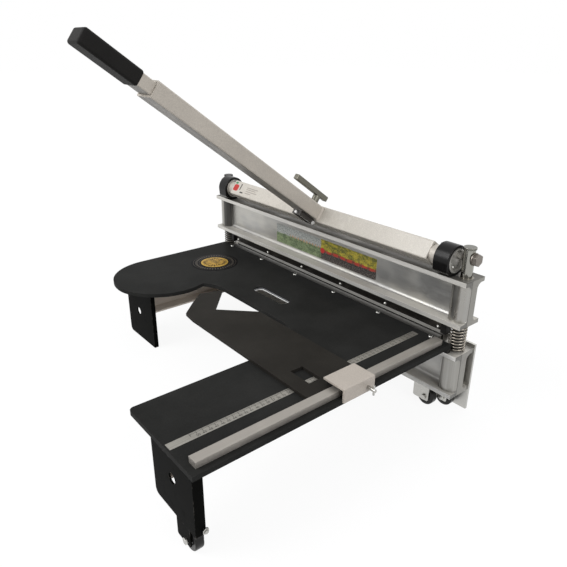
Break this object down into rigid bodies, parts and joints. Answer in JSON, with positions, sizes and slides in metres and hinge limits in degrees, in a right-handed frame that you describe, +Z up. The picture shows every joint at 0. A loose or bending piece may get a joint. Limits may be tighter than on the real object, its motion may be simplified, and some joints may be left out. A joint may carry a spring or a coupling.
{
  "type": "flooring shear",
  "caption": "Bench shear for floor boards: a long lever turns cams on a cross tube that press a knife beam down two guide posts, over a table with a sliding fence.",
  "frame": {"origin": "middle of the floor edge of the rear foot plate, on the floor", "axes": "+X along the knife to the side with the fence rail, +Y to the back, +Z up"},
  "size_m": [0.7641, 0.5876, 0.657],
  "materials": {
    "aluminium_beam": "milled, clear anodised",
    "foot_plate": "brushed sheet",
    "steel_bright": "ground",
    "steel_zinc": "bright zinc",
    "anvil_steel": "ground",
    "black_paint": "satin powder coat",
    "grey_paint": "satin powder coat",
    "cream_paint": "gloss powder coat",
    "silver_paint": "satin metallic",
    "cast_grey": "machined",
    "cam_black": "moulded ring",
    "spring_steel": "oil blackened wire",
    "bronze": "sintered",
    "knife_steel": "blackened with a ground edge",
    "rail_metal": "satin",
    "scale_metal": "satin with dark marks",
    "slider_metal": "satin",
    "black_plastic": "fine texture",
    "wheel_core": "smooth",
    "tyre_rubber": "smooth tread",
    "grip_rubber": "fine texture"
  },
  "bodies": {
    "frame": {"rear_foot_plate": "foot_plate", "foot_plate_screws": "steel_zinc", "base_beam": "aluminium_beam", "post_left": "steel_bright", "post_right": "steel_bright", "post_caps": "steel_bright", "anvil_front": "anvil_steel", "anvil_rear": "anvil_steel", "table_packer": "black_plastic", "table": "black_paint", "table_screws": "steel_zinc", "leg_left": "black_paint", "leg_right": "black_paint", "brace_left": "grey_paint", "brace_right": "grey_paint", "scale_strip": "scale_metal", "fence_rail": "rail_metal", "rail_screws": "steel_zinc", "caster_forks": "steel_zinc", "fork_leg": "black_paint", "caster_axles": "steel_zinc", "pivot_bolt_left": "steel_zinc", "pivot_bolt_right": "steel_zinc", "spring_left": "spring_steel", "spring_right": "spring_steel"},
    "press_beam": {"upper_beam": "aluminium_beam", "guide_bushes": "bronze", "knife_carrier": "black_paint", "carrier_bolts": "steel_zinc", "end_blocks": "black_plastic", "knife": "knife_steel", "knife_screws": "steel_zinc"},
    "lever": {"cross_tube": "cream_paint", "tube_plugs": "steel_bright", "cam_left": "cam_black", "cam_right": "cam_black", "cam_hub_left": "cast_grey", "cam_hub_right": "cast_grey", "collar_screws": "spring_steel", "lever_bracket": "silver_paint", "bracket_bolt": "steel_zinc", "lever_tube": "silver_paint", "clamp_nut": "steel_zinc"},
    "clamp": {"clamp_screw": "steel_bright", "clamp_bar": "steel_bright"},
    "handle": {"handle_bar": "silver_paint", "grip": "grip_rubber"},
    "fence": {"fence_slider": "slider_metal", "fence_block": "black_plastic", "fence_arm": "black_paint", "fence_screws": "steel_zinc"},
    "thumb": {"thumb_screw": "steel_bright"},
    "wheel_front": {"base_wheel_front": "wheel_core", "tyre_front": "tyre_rubber"},
    "wheel_rear": {"base_wheel_rear": "wheel_core", "tyre_rear": "tyre_rubber"},
    "wheel_leg": {"leg_wheel": "wheel_core", "tyre_leg": "tyre_rubber"}
  },
  "joints": [
    {"name": "lever_turn", "type": "hinge", "parent": "frame", "child": "lever", "pos_m": [0, -0.03, 0.3075], "axis": [1, 0, 0], "range_deg": [-40, 43]},
    {"name": "beam_slide", "type": "slide", "parent": "frame", "child": "press_beam", "axis": [0, 0, -1], "range_m": [-0.0086, 0.0092], "stiffness_N_per_m": 10400, "springref_m": -0.03, "deforming": ["spring_left", "spring_right"]},
    {"name": "clamp_turn", "type": "hinge", "parent": "lever", "child": "clamp", "pos_m": [0, -0.06832, 0.31935], "axis": [0, 0.5892, 0.808], "range_deg": [-90, 90]},
    {"name": "handle_slide", "type": "slide", "parent": "lever", "child": "handle", "axis": [0, -0.808, 0.5892], "range_m": [0, 0.18]},
    {"name": "fence_slide", "type": "slide", "parent": "frame", "child": "fence", "axis": [0, 1, 0], "range_m": [-0.24, 0.18]},
    {"name": "thumb_turn", "type": "hinge", "parent": "fence", "child": "thumb", "pos_m": [0.3702, -0.27, 0.152], "axis": [1, 0, 0], "range_deg": [-170, 170]},
    {"name": "wheel_front_turn", "type": "hinge", "parent": "frame", "child": "wheel_front", "pos_m": [0.322, -0.043, 0.018], "axis": [0, 1, 0], "continuous": true},
    {"name": "wheel_rear_turn", "type": "hinge", "parent": "frame", "child": "wheel_rear", "pos_m": [0.345, -0.017, 0.018], "axis": [0, 1, 0], "continuous": true},
    {"name": "wheel_leg_turn", "type": "hinge", "parent": "frame", "child": "wheel_leg", "pos_m": [0.333, -0.568, 0.018], "axis": [0, 1, 0], "continuous": true}
  ],
  "couplings": [
    {"joint": "beam_slide", "follows": "lever_turn", "m_per_rad": 0.012}
  ]
}
